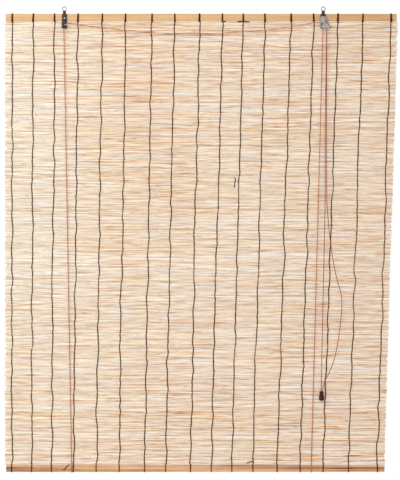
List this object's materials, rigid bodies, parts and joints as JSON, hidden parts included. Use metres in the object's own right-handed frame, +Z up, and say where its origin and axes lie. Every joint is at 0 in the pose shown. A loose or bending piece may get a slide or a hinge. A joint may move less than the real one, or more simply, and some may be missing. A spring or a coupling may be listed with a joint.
{
  "type": "reed roll up blind",
  "caption": "Roll up window blind of thin natural reeds stitched with dark thread to a wood head rail, raised by lift cords through a cord lock, with a wood tassel.",
  "frame": {"origin": "midway between the centres of the two hanging eyes", "axes": "+X to the right as seen from the room, +Y towards the wall or window, +Z up"},
  "size_m": [1.0025, 0.0281, 1.1924],
  "materials": {
    "reed": "dry natural reed",
    "rail_wood": "planed, bare",
    "cane": "natural, slightly glossy",
    "tassel_wood": "dark stained",
    "thread": "twisted cotton",
    "cord": "twisted cotton",
    "plated_steel": "bright plated",
    "pulley_metal": "turned",
    "dark_plate": "dark lacquer",
    "zinc": "zinc plated"
  },
  "bodies": {
    "head": {"head_rail": "rail_wood", "reed_mat": "reed", "left_back_cheek": "dark_plate", "left_front_cheek": "dark_plate", "lock_neck": "dark_plate", "left_eye": "plated_steel", "right_eye": "plated_steel", "pulley_axles": "plated_steel", "hanger_screws": "plated_steel", "left_staple": "plated_steel", "right_staple": "plated_steel", "lock_housing": "zinc", "stitch_thread_01": "thread", "stitch_thread_02": "thread", "stitch_thread_03": "thread", "stitch_thread_04": "thread", "stitch_thread_05": "thread", "stitch_thread_06": "thread", "stitch_thread_07": "thread", "stitch_thread_08": "thread", "stitch_thread_09": "thread", "stitch_thread_10": "thread", "stitch_thread_11": "thread", "stitch_thread_12": "thread", "stitch_thread_13": "thread", "stitch_thread_14": "thread", "stitch_thread_15": "thread", "stitch_thread_16": "thread", "stitch_thread_17": "thread", "left_lift_cord": "cord", "right_lift_cord": "cord", "left_back_cord": "cord", "right_back_cord": "cord", "cross_cord": "cord", "right_turn_cord": "cord", "draw_cord_tight": "cord", "draw_cord_slack": "cord"},
    "foot": {"foot_cane_upper": "cane", "foot_cane_middle": "cane", "foot_cane_lower": "cane", "foot_lashings": "thread", "left_sling": "cord", "right_sling": "cord"},
    "tassel": {"tassel": "tassel_wood", "tassel_knot": "cord"},
    "left_pulley": {"left_pulley": "pulley_metal"},
    "right_pulley": {"right_pulley": "pulley_metal"},
    "lock_roller": {"lock_roller": "pulley_metal"}
  },
  "joints": [
    {"name": "lift", "type": "slide", "parent": "head", "child": "foot", "axis": [0, 0, 1], "range_m": [0, 1.08], "deforming": ["reed_mat", "stitch_thread_01", "stitch_thread_02", "stitch_thread_03", "stitch_thread_04", "stitch_thread_05", "stitch_thread_06", "stitch_thread_07", "stitch_thread_08", "stitch_thread_09", "stitch_thread_10", "stitch_thread_11", "stitch_thread_12", "stitch_thread_13", "stitch_thread_14", "stitch_thread_15", "stitch_thread_16", "stitch_thread_17", "left_lift_cord", "right_lift_cord", "left_back_cord", "right_back_cord"]},
    {"name": "tassel_drop", "type": "slide", "parent": "head", "child": "tassel", "axis": [0, 0, -1], "range_m": [0, 2.16], "deforming": ["draw_cord_tight", "draw_cord_slack"]},
    {"name": "left_pulley_spin", "type": "hinge", "parent": "head", "child": "left_pulley", "pos_m": [-0.32775, -0.00115, -0.0404], "axis": [0, 1, 0], "continuous": true},
    {"name": "right_pulley_spin", "type": "hinge", "parent": "head", "child": "right_pulley", "pos_m": [0.33505, -0.003, -0.0367], "axis": [0, 1, 0], "continuous": true},
    {"name": "roller_slide", "type": "slide", "parent": "head", "child": "lock_roller", "axis": [-0.3408, 0, 0.9401], "range_m": [0, 0.0045]}
  ],
  "couplings": [
    {"joint": "tassel_drop", "follows": "lift", "ratio": 2},
    {"joint": "left_pulley_spin", "follows": "lift", "rad_per_m": 444.44},
    {"joint": "right_pulley_spin", "follows": "lift", "rad_per_m": 444.44}
  ]
}
